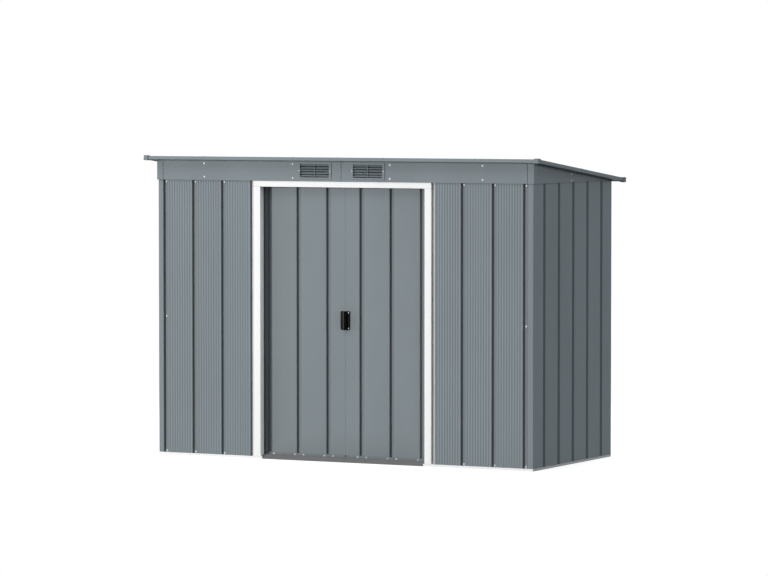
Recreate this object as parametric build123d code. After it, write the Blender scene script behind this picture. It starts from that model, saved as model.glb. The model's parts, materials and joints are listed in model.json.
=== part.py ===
from build123d import *
import math
import os

# Pent-roofed metal tool shed in millimetres: +Z up, doors facing -Y, origin on the ground
# under the middle of the roof. A "depth" is measured inwards from a wall's outer face.

# Walls
wall_width = 2440
wall_depth = 1070
wall_height = 1607
panel_sheet = 0.6
frame_sheet = 1.0
seat = 0.1

# Rolled grooves in the wall sheets
groove_pitch = 195.2
groove_depth = 12
groove_floor = 23.4
groove_run = 5.2
corner_flat = 30
grooves_per_sheet = 3
lap_share = 0.8
fine_rib_pitch = 16.73
fine_rib_depth = 2

# Base rails
lip_height = 14
rail_upstand = 30

# Top rails and the beam over the doors
top_rail_height = 32
top_rail_flange = 30
beam_depth = 27
beam_lip = 9

# Roof
gable_rise = 118
gable_rear = 3
roof_overhang = 64
roof_side_overhang = 59
roof_rib_height = 9
roof_rib_top = 16
roof_rib_run = 9
trim_height = 16.2
trim_flange = 21
trim_drip = 3.5
cap_leg = 28.6
cap_height = 28
cap_wall = 4
cap_fit = 0.2
purlin_width = 34
purlin_height = 30
purlin_brim = 14

# Fascia, gables and vents
fascia_proud = 6.7
gable_proud = 5
fascia_flange = 22
fascia_joint = 2.2
corner_cover_leg = 40
vent_width = 220
vent_height = 96
vent_border_side = 15.5
vent_border = 10.5
vent_plate = 2.5
vent_offset = 173
vent_rise = 61
vent_mullion = 6
mullion_share = 0.5
vent_slats = 5
slat_thickness = 1.2
slat_depth = 12
slat_tilt = 38

# Door frame
jamb_proud = 1.5
jamb_face = 42
jamb_slope = 3.8
jamb_flange = 14
jamb_clearance = 5.5
header_height = 33.5

# Sliding doors
door_recess = 46
door_seam = 5
door_lap = 20
door_bottom = 22
door_top_lap = 10
door_edge_return = 18
door_first_groove = 108.3
door_rail_height = 40
door_foot_height = 18
door_rail_depth = 16
door_handle_margin = 20

# Tracks, hangers and guides
track_width = 45
track_height = 30
track_slot = 16
track_clearance = 6
hanger_length = 44
hanger_block_height = 9
hanger_block_width = 25
hanger_stem = 5
hanger_inset = 70
glide_gap = 0.3
guide_channel_width = 24
guide_channel_height = 12
guide_thickness = 10
guide_clearance = 5

# Ramp in the doorway
ramp_gap = 10
ramp_run = 32
ramp_rise = 28
ramp_top = 7.4
ramp_toe = 3

# Door handles
handle_width = 28
handle_height = 109
handle_plate = 3
handle_corner = 9
handle_grip = 13
handle_proud = 20
handle_centre = 819

# Values worked out from the sizes above
half_width = wall_width / 2
half_depth = wall_depth / 2
wall_top = lip_height + wall_height
lap = panel_sheet + seat
backing = groove_depth + lap + panel_sheet + seat
half_floor = groove_floor / 2
half_mouth = half_floor + groove_run
groove_count = int((wall_width - 2 * corner_flat) / groove_pitch)
corner_inset = (wall_width - groove_count * groove_pitch) / 2
jamb_groove = half_width - corner_inset - grooves_per_sheet * groove_pitch
jamb_foot = jamb_groove - lap_share * half_floor / 2
jamb_outer = jamb_foot - jamb_slope
jamb_inner = jamb_outer - jamb_face
ramp_half_width = jamb_inner - ramp_gap
corner_side = half_width + gable_proud + lap
roof_fall = (gable_rise - gable_rear) / wall_depth
roof_angle = math.degrees(math.atan(roof_fall))
roof_half_width = half_width + roof_side_overhang
roof_half_length = (half_depth + roof_overhang) / math.cos(math.radians(roof_angle))
roof_place = Location((0, 0, wall_top + (gable_rise + gable_rear) / 2), (-roof_angle, 0, 0))
track_middle = backing + beam_depth + seat + track_width / 2
rail_foot = track_middle - guide_channel_width / 2 - seat
track_bottom = wall_top - header_height + door_top_lap + track_clearance
door_top = wall_top - header_height + door_top_lap
door_outer = jamb_inner + door_lap
door_front = door_recess - seat - frame_sheet
door_travel = jamb_inner - door_seam / 2 - handle_width - door_handle_margin


def sheet(points, thickness):
    """Face of a bent strip: a line and its copy moved to the line's left by the thickness."""
    line = [Vector(*point) for point in points]
    runs = [(end - start).normalized() for start, end in zip(line, line[1:])]
    lefts = [Vector(-run.Y, run.X) for run in runs]
    bends = [(one + two) * (1 / (1 + one.dot(two))) for one, two in zip(lefts, lefts[1:])]
    shifts = [lefts[0], *bends, lefts[-1]]
    inner = [point + shift * thickness for point, shift in zip(line, shifts)]
    return make_face(Polyline(*line, *reversed(inner), close=True))


def side_bar(profile, half, length, turn=0):
    """Profile in (depth, height) drawn out along the wall that lies half away from the middle."""
    start = Plane((-length / 2, -half, 0), x_dir=(0, 1, 0), z_dir=(1, 0, 0))
    return Rot(Z=turn) * extrude(start * profile, length)


def mitred_bar(profile, half, length, reach, turn=0):
    """Bar along one side of a rectangle, cut at 45 degrees where it meets the next side."""
    outer = length / 2 - seat
    inner = outer - reach
    plan = make_face(Polyline((-outer, -half), (outer, -half), (inner, reach - half),
                              (-inner, reach - half), close=True))
    box = profile.bounding_box()
    cut = extrude(Pos(Z=box.min.Y) * plan, box.size.Y)
    return Rot(Z=turn) * (side_bar(profile, half, length) & cut)


def pan_line(start, end, ribbed):
    """Points between two grooves: flat, or folded into fine shallow ribs."""
    if not ribbed:
        return []
    count = int((end - start) / fine_rib_pitch)
    first = (start + end - count * fine_rib_pitch) / 2
    line = []
    for number in range(count):
        peak = first + number * fine_rib_pitch
        line += [(peak, 0), (peak + fine_rib_pitch / 2, fine_rib_depth)]
    return line + [(first + count * fine_rib_pitch, 0)]


def grooved_line(centres, under_start=False, ribbed=False):
    """Outer line of a sheet that ends in the floors of its first and last grooves."""
    line = []
    for number, centre in enumerate(centres):
        floor = groove_depth + (lap if under_start and number == 0 else 0)
        before = [(centre - half_mouth, 0), (centre - half_floor, floor)]
        after = [(centre + half_floor, floor), (centre + half_mouth, 0)]
        if number == 0:
            before = [(centre - lap_share * half_floor, floor)]
        if number == len(centres) - 1:
            after = [(centre + lap_share * half_floor, floor)]
        line += before + after
        if number < len(centres) - 1:
            line += pan_line(centre + half_mouth, centres[number + 1] - half_mouth, ribbed)
    return line


def upright(line, height, thickness=panel_sheet):
    """Sheet standing on the base rails."""
    return extrude(Pos(Z=lip_height + seat) * sheet(line, thickness), height - seat)


def mirrored(shape):
    """The same piece on the other side of the shed."""
    return mirror(shape, about=Plane.YZ)


def base_rails():
    line = [(backing, lip_height + rail_upstand), (backing, lip_height), (0, lip_height),
            (0, 0), (rail_foot, 0)]
    profile = sheet(line, frame_sheet)
    reach = rail_foot + frame_sheet
    front = mitred_bar(profile, half_depth, wall_width, reach)
    align = (Align.CENTER, Align.MIN, Align.MIN)
    doorway = Pos(0, -half_depth, 0) * Box(2 * (ramp_half_width + seat), reach, wall_top, align=align)
    between_posts = Box(2 * (jamb_inner + frame_sheet + seat), reach, wall_top, align=align)
    between_posts = Pos(0, backing - seat - half_depth, lip_height) * between_posts
    return {
        "base_rails_front": front - doorway - between_posts,
        "base_rail_back": mitred_bar(profile, half_depth, wall_width, reach, 180),
        "base_rail_right": mitred_bar(profile, half_width, wall_depth, reach, 90),
        "base_rail_left": mitred_bar(profile, half_width, wall_depth, reach, 270),
    }


def door_ramp():
    back = ramp_run + ramp_top
    line = [(back, 0), (back, ramp_rise), (ramp_run, ramp_rise), (0, ramp_toe), (0, 0)]
    return side_bar(sheet(line, frame_sheet), half_depth, 2 * ramp_half_width)


def front_panel():
    """Right-hand front sheet, from the doorway to the corner groove."""
    centres = [jamb_groove + number * groove_pitch for number in range(grooves_per_sheet + 1)]
    line = grooved_line(centres, ribbed=True)
    return upright([(s, depth - half_depth) for s, depth in line], wall_height)


def corner_return():
    """Short leg of a side sheet that turns the corner and ends under the next sheet."""
    centre = corner_inset
    floor = groove_depth + lap
    return [(centre + lap_share * half_floor, floor), (centre - half_floor, floor),
            (centre - half_mouth, 0), (0, 0)]


def side_panels():
    """Front and back sheets of the right-hand wall, lapped in the middle groove."""
    count = int((half_depth - corner_flat - half_mouth) / groove_pitch)
    centres = [number * groove_pitch for number in range(count + 1)]
    back_line = grooved_line(centres, under_start=True)[:-1]
    back_line += [(centres[-1] + half_floor, groove_depth), (centres[-1] + half_mouth, 0)]
    front_line = grooved_line([-centre for centre in reversed(centres)])[1:]
    front_line = [(-centres[-1] - half_mouth, 0), (-centres[-1] - half_floor, groove_depth)] + front_line
    leg = [(half_width - s, depth - half_depth) for s, depth in corner_return()]
    front = leg + [(half_width - depth, s) for s, depth in front_line]
    tail = [(half_width - s, half_depth - depth) for s, depth in reversed(corner_return())]
    back = [(half_width - depth, s) for s, depth in back_line] + tail
    return upright(front, wall_height), upright(back, wall_height)


def back_panels():
    """Sheets of the back wall from left to right, each lapping over the start of the next."""
    panels = {}
    for first in range(0, groove_count, grooves_per_sheet):
        last = min(first + grooves_per_sheet, groove_count)
        places = [corner_inset + number * groove_pitch - half_width for number in range(first, last + 1)]
        line = grooved_line(places, under_start=first > 0)
        panel = upright([(-s, half_depth - depth) for s, depth in line], wall_height + gable_rear - seat)
        panels[f"back_panel_{1 + first // grooves_per_sheet}"] = panel
    return panels


def top_rails():
    """Angles behind the tops of the side and back sheets."""
    level = [(backing + top_rail_flange, wall_top), (backing, wall_top),
             (backing, wall_top - top_rail_height)]
    high = wall_top + gable_rear - seat
    sloped = [(backing + top_rail_flange, high + roof_fall * (backing + top_rail_flange)),
              (backing, high + roof_fall * backing), (backing, wall_top - top_rail_height)]
    back = side_bar(sheet(sloped, frame_sheet), half_depth, wall_width - 2 * backing, 180)
    near = half_depth - backing - beam_depth - seat
    far = half_depth - backing - top_rail_flange - seat
    side = side_bar(sheet(level, frame_sheet), half_width, near + far, 90)
    side = Pos(Y=(far - near) / 2) * side
    return {"top_rail_back": back, "top_rail_right": side, "top_rail_left": mirrored(side)}


def front_beam():
    """Lipped channel over the doorway and behind the tops of the front sheets."""
    back = backing + beam_depth
    low = wall_top - top_rail_height
    line = [(back, wall_top - beam_lip), (back, wall_top), (backing, wall_top), (backing, low),
            (back, low), (back, low + beam_lip)]
    return side_bar(sheet(line, frame_sheet), half_depth, wall_width - 2 * backing)


def track_length():
    return 2 * (door_outer + door_travel + hanger_length)


def door_top_track():
    """Box channel with a slot below, in which the doors hang."""
    half, slot = track_width / 2, track_slot / 2
    high = track_bottom + track_height
    line = [(slot, track_bottom), (half, track_bottom), (half, high), (-half, high),
            (-half, track_bottom), (-slot, track_bottom)]
    line = [(track_middle + depth, height) for depth, height in line]
    return side_bar(sheet(line, frame_sheet), half_depth, track_length())


def door_bottom_track():
    """Channel on the ground that keeps the doors' feet in line."""
    half = guide_channel_width / 2
    line = [(-half, guide_channel_height), (-half, 0), (half, 0), (half, guide_channel_height)]
    line = [(track_middle + depth, height) for depth, height in line]
    return side_bar(sheet(line, frame_sheet), half_depth, track_length())


def seat_height(depth):
    """Height of the roof sheets' underside at a depth behind the front wall."""
    return wall_top + gable_rise - roof_fall * depth


def fascia():
    """Right half of the front fascia with the hole for its vent."""
    line = [(backing, wall_top + seat), (-fascia_proud, wall_top + seat),
            (-fascia_proud, seat_height(-fascia_proud) - seat),
            (fascia_flange, seat_height(fascia_flange) - seat)]
    line.reverse()
    start, end = fascia_joint / 2, corner_side - corner_cover_leg - fascia_joint
    strip = Pos(X=(start + end) / 2) * side_bar(sheet(line, panel_sheet), half_depth, end - start)
    hole = Box(vent_width - 2 * vent_border_side, fascia_proud, vent_height - 2 * vent_border)
    return strip - Pos(vent_offset, -half_depth - fascia_proud, wall_top + vent_rise) * hole


def vent():
    """Louvred vent: a border, tilted slats and a mullion set back between them, in one moulding."""
    wide = vent_width - 2 * vent_border_side
    high = vent_height - 2 * vent_border
    outline = RectangleRounded(vent_width, vent_height, vent_border / 2) - Rectangle(wide, high)
    body = extrude(Plane.XZ * outline, vent_plate)
    mullion = Box(vent_mullion, mullion_share * slat_depth, high)
    body += Pos(Y=(1 - mullion_share / 2) * slat_depth - vent_plate) * mullion
    inside = Pos(Y=slat_depth / 2 - vent_plate) * Box(wide, slat_depth, high)
    slat = Rot(X=slat_tilt) * Box(wide, 2 * slat_depth, slat_thickness)
    pitch = high / vent_slats
    for number in range(vent_slats):
        body += Pos(Z=(number + 1 / 2) * pitch - high / 2) * slat & inside
    return Pos(vent_offset, -half_depth - fascia_proud - seat, wall_top + vent_rise) * body


def gable():
    """Right-hand gable sheet: a tapering web with flanges under the roof and over the wall."""
    outside = Plane((half_width + gable_proud, 0, 0), x_dir=(0, 1, 0), z_dir=(1, 0, 0))
    front = lap - half_depth - fascia_proud
    clear = half_depth - backing - top_rail_flange - seat
    low = wall_top + seat
    tops = {y: seat_height(y + half_depth) - seat for y in (front, -clear, clear, half_depth)}
    web = [(front, low), (half_depth, low), (half_depth, tops[half_depth]), (front, tops[front])]
    under_roof = [(-clear, tops[-clear]), (clear, tops[clear]), (clear, tops[clear] - panel_sheet),
                  (-clear, tops[-clear] - panel_sheet)]
    over_wall = [(-clear, low), (clear, low), (clear, low + panel_sheet), (-clear, low + panel_sheet)]
    leaves = ((web, panel_sheet), (under_roof, fascia_flange), (over_wall, backing + gable_proud))
    shape = Part()
    for outline, reach in leaves:
        shape += extrude(outside * make_face(Polyline(*outline, close=True)), -reach)
    return shape


def roof_panels():
    """Sheets that run down the slope, lapped over each other at raised ribs."""
    ribs = int((roof_half_width - trim_flange - corner_flat) / groove_pitch)
    places = [number * groove_pitch for number in range(-ribs, ribs + 1)]
    edge = roof_half_width - frame_sheet - seat
    half_top = roof_rib_top / 2
    seams = places[ribs % grooves_per_sheet::grooves_per_sheet]
    if len(seams) > 2:
        seams = seams[1:-1] if seams[0] == places[0] else seams
    bounds = [-edge, *seams, edge]
    panels = {}
    for number, (start, end) in enumerate(zip(bounds, bounds[1:])):
        line = [(start, 0)] if start == -edge else []
        for place in places:
            rise = [(place - half_top - roof_rib_run, 0), (place - half_top, roof_rib_height)]
            fall = [(place + half_top, roof_rib_height), (place + half_top + roof_rib_run, 0)]
            if place == start:
                low = roof_rib_height - lap
                line += [(place - lap_share * half_top, low), (place + half_top, low), fall[1]]
            elif place == end:
                line += rise + [(place + lap_share * half_top, roof_rib_height)]
            elif start < place < end:
                line += rise + fall
        line += [(end, 0)] if end == edge else []
        line = [(across, height + panel_sheet) for across, height in reversed(line)]
        length = 2 * (roof_half_length - frame_sheet - seat)
        slope = Plane((0, length / 2, 0), x_dir=(1, 0, 0), z_dir=(0, -1, 0))
        panels[f"roof_panel_{number + 1}"] = roof_place * extrude(slope * sheet(line, panel_sheet), length)
    return panels


def roof_trims():
    """Channels that close the four edges of the roof, with a drip edge below the lower flange."""
    low = -seat - frame_sheet
    high = low + trim_height
    line = [(trim_flange, high), (0, high), (0, low), (trim_flange, low)]
    profile = sheet(line, frame_sheet) + sheet([(0, high), (0, low - trim_drip)], frame_sheet)
    reach = trim_flange + frame_sheet
    front = mitred_bar(profile, roof_half_length, 2 * roof_half_width, reach)
    right = mitred_bar(profile, roof_half_width, 2 * roof_half_length, reach, 90)
    return {
        "roof_trim_front": roof_place * front,
        "roof_trim_back": roof_place * Rot(Z=180) * front,
        "roof_trim_right": roof_place * right,
        "roof_trim_left": roof_place * mirrored(right),
    }


def roof_corner_caps():
    """Four moulded caps over the mitred corners of the roof trims."""
    margin = cap_wall + cap_fit
    middle = (trim_height - trim_drip) / 2 - seat - frame_sheet
    room = trim_height + trim_drip + 2 * cap_fit
    align = (Align.MAX, Align.MAX, Align.CENTER)
    shell = Box(cap_leg, cap_leg, cap_height, align=align)
    shell = fillet(shell.edges().filter_by(Axis.Z).sort_by(Axis((0, 0, 0), (1, 1, 0)))[-1:], cap_wall)
    cap = shell - Pos(-cap_wall, -cap_wall) * Box(cap_leg, cap_leg, room, align=align)
    cap = Pos(roof_half_width + margin, roof_half_length + margin, middle) * cap
    pair = [cap, mirror(cap, about=Plane.XZ)]
    return roof_place * Compound(children=pair + [mirrored(one) for one in pair])


def purlin():
    """Hat channel across the shed under the middle of the roof sheets."""
    half = purlin_width / 2
    brim = half + purlin_brim
    top, low = -seat, -seat - purlin_height
    line = [(brim, top), (half, top), (half, low), (-half, low), (-half, top), (-brim, top)]
    length = wall_width + 2 * (gable_proud - fascia_flange - seat)
    start = Plane((-length / 2, 0, 0), x_dir=(0, 1, 0), z_dir=(1, 0, 0))
    return roof_place * extrude(start * sheet(line, frame_sheet), length)


def fascia_corners():
    """Angles that close the corners, level with the fascia and lapped over the gables."""
    front = -half_depth - fascia_proud
    line = [(corner_side - corner_cover_leg, front), (corner_side, front),
            (corner_side, front + corner_cover_leg)]
    low = wall_top + seat
    cover = extrude(Pos(Z=low) * sheet(line, panel_sheet), gable_rise + roof_overhang)
    align = (Align.CENTER, Align.CENTER, Align.MIN)
    above_roof = Box(2 * roof_half_width, 2 * roof_half_length, 2 * gable_rise, align=align)
    cover -= roof_place * Pos(Z=-seat) * above_roof
    return Compound(children=[cover, mirrored(cover)])


def door_jambs():
    """Posts beside the doorway: a face over the sheets' ends, and an inner leg back to the doors."""
    floor = groove_depth - seat - frame_sheet
    line = [(jamb_inner, door_front - jamb_clearance), (jamb_inner, -jamb_proud), (jamb_outer, -jamb_proud),
            (jamb_foot, floor), (jamb_foot + jamb_flange, floor)]
    post = upright([(x, depth - half_depth) for x, depth in line], wall_height, frame_sheet)
    under_beam = Box(jamb_face, wall_depth, wall_height, align=(Align.CENTER, Align.MIN, Align.MIN))
    post -= Pos(jamb_inner, backing - seat - half_depth, wall_top - top_rail_height - seat) * under_beam
    return Compound(children=[post, mirrored(post)])


def door_header():
    """Strip over the fronts of the jambs, with flanges back to the beam between them."""
    low = wall_top - header_height
    front = -jamb_proud - seat - frame_sheet
    line = [(backing - seat, wall_top), (front, wall_top), (front, low), (backing - seat, low)]
    channel = side_bar(sheet(line, frame_sheet), half_depth, 2 * (jamb_inner - seat))
    strip = sheet([(front, wall_top), (front, low)], frame_sheet)
    return channel + side_bar(strip, half_depth, 2 * jamb_outer)


def door_sheet():
    """Right-hand door sheet with its edges folded back."""
    start, end = door_seam / 2, door_outer
    count = 1 + int((end - door_first_groove - half_mouth) / groove_pitch)
    line = [(start, door_edge_return), (start, 0)]
    for number in range(count):
        centre = door_first_groove + number * groove_pitch
        line += [(centre - half_mouth, 0), (centre - half_floor, groove_depth),
                 (centre + half_floor, groove_depth), (centre + half_mouth, 0)]
    line += [(end, 0), (end, door_edge_return)]
    line = [(x, depth + door_recess - half_depth) for x, depth in line]
    low = door_bottom + frame_sheet + seat
    return extrude(Pos(Z=low) * sheet(line, panel_sheet), door_top - low)


def door_rails():
    """Channels of the right-hand door: one behind the sheet's top, one folded round its foot."""
    start, end = door_seam / 2, door_outer
    middle = (start + end) / 2
    front = door_recess + groove_depth + panel_sheet + seat
    back = front + door_rail_depth
    low = door_bottom
    line = [(door_front, low + door_foot_height), (door_front, low),
            (back, low), (back, low + door_rail_height)]
    bottom = Pos(X=middle) * side_bar(sheet(line, frame_sheet), half_depth, end - start)
    low, high = door_top - door_rail_height, door_top
    line = [(back, low), (back, high), (front, high), (front, low)]
    inside = end - start - 2 * (panel_sheet + seat)
    top = Pos(X=middle) * side_bar(sheet(line, frame_sheet), half_depth, inside)
    return Compound(children=[top, bottom])


def door_glides():
    """Hangers that ride in the top track and guides that run in the bottom one."""
    places = [door_seam / 2 + hanger_inset, door_outer - hanger_inset]
    lift = track_bottom + frame_sheet + glide_gap
    align = (Align.CENTER, Align.CENTER, Align.MIN)
    block = Pos(Z=lift) * Box(hanger_length, hanger_block_width, hanger_block_height, align=align)
    foot = door_top + seat
    stem = Pos(Z=foot) * Box(hanger_length, hanger_stem, lift - foot + hanger_block_height / 2, align=align)
    guide_top = door_bottom - seat
    guide_foot = frame_sheet + guide_clearance
    guide = Pos(Z=guide_foot) * Box(hanger_length, guide_thickness, guide_top - guide_foot, align=align)
    pieces = []
    for place in places:
        pieces.append(Pos(place, track_middle - half_depth, 0) * (block + stem))
        pieces.append(Pos(place, track_middle - half_depth, 0) * guide)
    return Compound(children=pieces)


def door_handle():
    """Moulded pull: a thin plate, and a ridge highest at the meeting edge that falls away from it."""
    plate = Rectangle(handle_width, handle_height, align=(Align.MIN, Align.CENTER))
    plate = fillet(plate.vertices().sort_by(Axis.X)[-2:], handle_corner)
    body = extrude(Plane.XZ * plate, handle_plate)
    fall = EllipticalCenterArc((0, 0), handle_grip, handle_proud, start_angle=270, arc_size=90)
    section = make_face(fall + Polyline((handle_grip, 0), (0, 0), (0, -handle_proud)))
    ridge = extrude(Pos(Z=-handle_height / 2) * section, handle_height)
    ends = extrude(Plane.YZ * RectangleRounded(2 * handle_proud, handle_height, handle_corner), handle_grip)
    return Pos(door_seam / 2, door_recess - half_depth - seat, handle_centre) * (body + (ridge & ends))


side_front, side_back = side_panels()
nodes = base_rails()
nodes["door_ramp"] = door_ramp()
nodes["door_bottom_track"] = door_bottom_track()
nodes["front_panel_right"] = front_panel()
nodes["front_panel_left"] = mirrored(nodes["front_panel_right"])
nodes["right_wall_front"] = side_front
nodes["right_wall_back"] = side_back
nodes["left_wall_front"] = mirrored(side_front)
nodes["left_wall_back"] = mirrored(side_back)
nodes |= back_panels()
nodes |= top_rails()
nodes["front_beam"] = front_beam()
nodes["door_top_track"] = door_top_track()
nodes["fascia_right"] = fascia()
nodes["fascia_left"] = mirrored(nodes["fascia_right"])
nodes["vent_right"] = vent()
nodes["vent_left"] = mirrored(nodes["vent_right"])
nodes["gable_right"] = gable()
nodes["gable_left"] = mirrored(nodes["gable_right"])
nodes["fascia_corners"] = fascia_corners()
nodes |= roof_panels()
nodes |= roof_trims()
nodes["roof_corner_caps"] = roof_corner_caps()
nodes["roof_purlin"] = purlin()
nodes["door_jambs"] = door_jambs()
nodes["door_header"] = door_header()
for piece, make in {"sheet": door_sheet, "rails": door_rails, "glides": door_glides,
                    "handle": door_handle}.items():
    nodes[f"right_door_{piece}"] = make()
    nodes[f"left_door_{piece}"] = mirrored(nodes[f"right_door_{piece}"])

os.makedirs("parts", exist_ok=True)
for name, shape in nodes.items():
    export_step(shape, f"parts/{name}.step")
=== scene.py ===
# %% [markdown]
# # A metal tool shed
# The shed is a kit of thin rolled steel: grooved wall sheets, white door posts, a shallow roof that
# slopes to the back, and two doors that slide behind the front sheets. The CAD model already has
# every sheet and rail at its real size, so this lesson keeps it as a fixed frame. It gives each
# piece its finish, rolls the large sheets again with soft bends, and drives in the screws.

# %% Load the frame
import json
import math

import bpy
import numpy as np
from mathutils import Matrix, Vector


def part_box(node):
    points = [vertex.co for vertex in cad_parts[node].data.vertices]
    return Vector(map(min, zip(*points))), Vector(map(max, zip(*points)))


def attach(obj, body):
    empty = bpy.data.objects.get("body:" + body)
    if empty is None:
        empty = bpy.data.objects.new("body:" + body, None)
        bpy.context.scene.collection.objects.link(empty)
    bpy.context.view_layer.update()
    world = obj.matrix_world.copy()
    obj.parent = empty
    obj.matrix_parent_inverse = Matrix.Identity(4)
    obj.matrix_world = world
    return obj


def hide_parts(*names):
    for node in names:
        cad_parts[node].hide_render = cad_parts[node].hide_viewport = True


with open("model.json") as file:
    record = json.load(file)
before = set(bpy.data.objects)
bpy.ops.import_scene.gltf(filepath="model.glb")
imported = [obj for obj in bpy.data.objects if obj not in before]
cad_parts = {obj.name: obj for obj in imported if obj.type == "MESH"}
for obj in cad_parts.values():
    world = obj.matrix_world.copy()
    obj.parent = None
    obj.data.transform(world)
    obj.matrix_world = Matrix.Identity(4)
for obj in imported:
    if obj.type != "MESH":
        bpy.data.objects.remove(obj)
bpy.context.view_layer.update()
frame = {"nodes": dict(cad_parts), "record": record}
mm = 0.001

# %% [markdown]
# ## The camera
# The photograph was taken from far away with a long lens, which keeps the upright edges nearly
# parallel. The camera could be pushed around by eye, but fitting it to the straight edges of the
# walls gives its place and lens at once. It stands in front and to the right, a little above the
# roof, and looks slightly down.

# %% Camera
camera_place = (11.0366, -21.3636, 2.1642)
camera_heading = math.radians(27.3255)
camera_dip = math.radians(2.80615)
camera_lens = 192.05
sensor_width = 36

camera_data = bpy.data.cameras.new("camera")
camera_data.lens = camera_lens
camera_data.sensor_width = sensor_width
camera = bpy.data.objects.new("camera", camera_data)
camera.location = camera_place
camera.rotation_euler = (math.pi / 2 - camera_dip, 0, camera_heading)
bpy.context.scene.collection.objects.link(camera)
bpy.context.scene.camera = camera
bpy.context.scene.view_settings.view_transform = "Standard"
print("camera", round(math.dist(camera_place, (0, 0, 0)), 2), "m from the shed")

# %% [markdown]
# ## Building nodes
# Every finish below is a small graph of shader nodes. One helper adds a node, sets its options and
# fills its inputs, either with a value or with a link from another node. Others do one step of
# arithmetic or mix two colours, and the last starts a node group, which is how one effect is shared
# by several finishes.

# %% Node helpers
def add(tree, kind, inputs=None, **options):
    """Adds a shader node; each input gets a plain value or a link from the socket given for it."""
    made = tree.nodes.new("ShaderNode" + kind)
    for name, value in options.items():
        setattr(made, name, value)
    for name, value in (inputs or {}).items():
        if isinstance(value, bpy.types.NodeSocket):
            tree.links.new(value, made.inputs[name])
        else:
            made.inputs[name].default_value = value
    return made


def maths(tree, operation, first, second=0.0):
    """One step of arithmetic on sockets or numbers."""
    return add(tree, "Math", {0: first, 1: second}, operation=operation).outputs[0]


def scaled(tree, value, factor, shift):
    """value * factor + shift."""
    return add(tree, "Math", {0: value, 1: factor, 2: shift}, operation="MULTIPLY_ADD").outputs[0]


def between(tree, factor, low, high):
    """A colour that goes from low to high as the factor goes from 0 to 1."""
    return add(tree, "Mix", {0: factor, 6: low, 7: high}, data_type="RGBA").outputs[2]


def stretch(tree, value, start, end, low=0.0, high=1.0):
    """Maps start..end to low..high with soft ends and nothing outside them."""
    limits = {"Value": value, "From Min": start, "From Max": end, "To Min": low, "To Max": high}
    return add(tree, "MapRange", limits, interpolation_type="SMOOTHSTEP").outputs[0]


def start_group(name, inputs, outputs):
    """An empty node group with number inputs and the named outputs."""
    tree = bpy.data.node_groups.new(name, "ShaderNodeTree")
    for label, value in inputs.items():
        socket = tree.interface.new_socket(label, in_out="INPUT", socket_type="NodeSocketFloat")
        socket.default_value = value
    for label, kind in outputs.items():
        tree.interface.new_socket(label, in_out="OUTPUT", socket_type="NodeSocket" + kind)
    return tree, tree.nodes.new("NodeGroupInput"), tree.nodes.new("NodeGroupOutput")


print("node helpers ready")

# %% [markdown]
# ## Studio light
# The front is bright, the end wall is half as bright, and the groove walls that turn away stay dark.
# The roof edge and the door header throw no hard shadow. That is a broad lamp at the height of the
# shed, to the left of the front, and a softer one above it. A weak one on the right shines almost
# along the front: it reaches the end wall and the inner side of the left door post, but not down
# into the grooves. Sun lamps would light as evenly, but area lamps far away also give soft shade.
# A last lamp lights the back and the roof for views from behind.

# %% Lamps
look_at = Vector((0, 0, 0.85))
lamp_distance = 32.0


def soft_lamp(name, heading, rise, width, height, level, tint=(1, 1, 1)):
    """A lamp aimed at the shed, at a heading and rise in degrees. A white face square to it then has the
    given brightness, because a lamp of power P gives P / (pi * distance)^2 on such a face."""
    heading, rise = math.radians(heading), math.radians(rise)
    flat = math.cos(rise)
    aim = Vector((math.sin(heading) * flat, -math.cos(heading) * flat, math.sin(rise)))
    data = bpy.data.lights.new(name, "AREA")
    data.shape = "RECTANGLE"
    data.size, data.size_y = width, height
    data.energy = level * (math.pi * lamp_distance) ** 2
    data.color = tint
    lamp = bpy.data.objects.new(name, data)
    lamp.location = look_at + aim * lamp_distance
    lamp.rotation_euler = aim.to_track_quat("Z", "Y").to_euler()
    bpy.context.scene.collection.objects.link(lamp)
    return lamp


lamps = [
    soft_lamp("key_lamp", -39, 5, 10.0, 5.0, 0.89),
    soft_lamp("top_lamp", -33, 46, 20.0, 17.0, 0.34),
    soft_lamp("end_lamp", 84, 8, 7.0, 7.0, 0.295, (0.92, 1.0, 1.04)),
    soft_lamp("rear_lamp", 200, 48, 17.0, 14.0, 0.70),
]
print("lamps", [(lamp.name, round(lamp.data.energy)) for lamp in lamps])

# %% [markdown]
# ## White surroundings
# The picture has a pure white ground and background. Making them bright enough to be white would
# flood the shed with bounced light, so the world and the floor show white only to the camera and
# in reflections, through the Light Path node. For all other light they are dim.

# %% World
def grey(level):
    """A neutral colour."""
    return level, level, level, 1


def seen_directly(tree):
    """1 for rays from the camera, from glossy reflections and through glass, and 0 for the rest."""
    path = add(tree, "LightPath").outputs
    seen = maths(tree, "MAXIMUM", path["Is Camera Ray"], path["Is Glossy Ray"])
    return maths(tree, "MAXIMUM", seen, path["Is Transmission Ray"])


dim_colour = (0.95, 0.98, 1.0, 1)
dim_level = 0.21
world = bpy.data.worlds.new("studio")
world.use_nodes = True
sky = world.node_tree
sky.nodes.clear()
dim = add(sky, "Background", {"Color": dim_colour, "Strength": dim_level})
white = add(sky, "Background", {"Color": grey(1), "Strength": 1.0})
mixed = add(sky, "MixShader", {0: seen_directly(sky), 1: dim.outputs[0], 2: white.outputs[0]})
add(sky, "OutputWorld", {"Surface": mixed.outputs[0]})
bpy.context.scene.world = world
print("world", world.name, "at", dim_level)

# %% [markdown]
# Near the shed the floor keeps a share of plain diffuse white beside its own glow, so the shed's
# shadow stays on it. Further out it fades to plain white.

# %% Floor
floor_half = 60.0
shadow_reach = 2.5
lit_share = 0.45
glow_share = 0.86
unseen_share = 0.07

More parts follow.
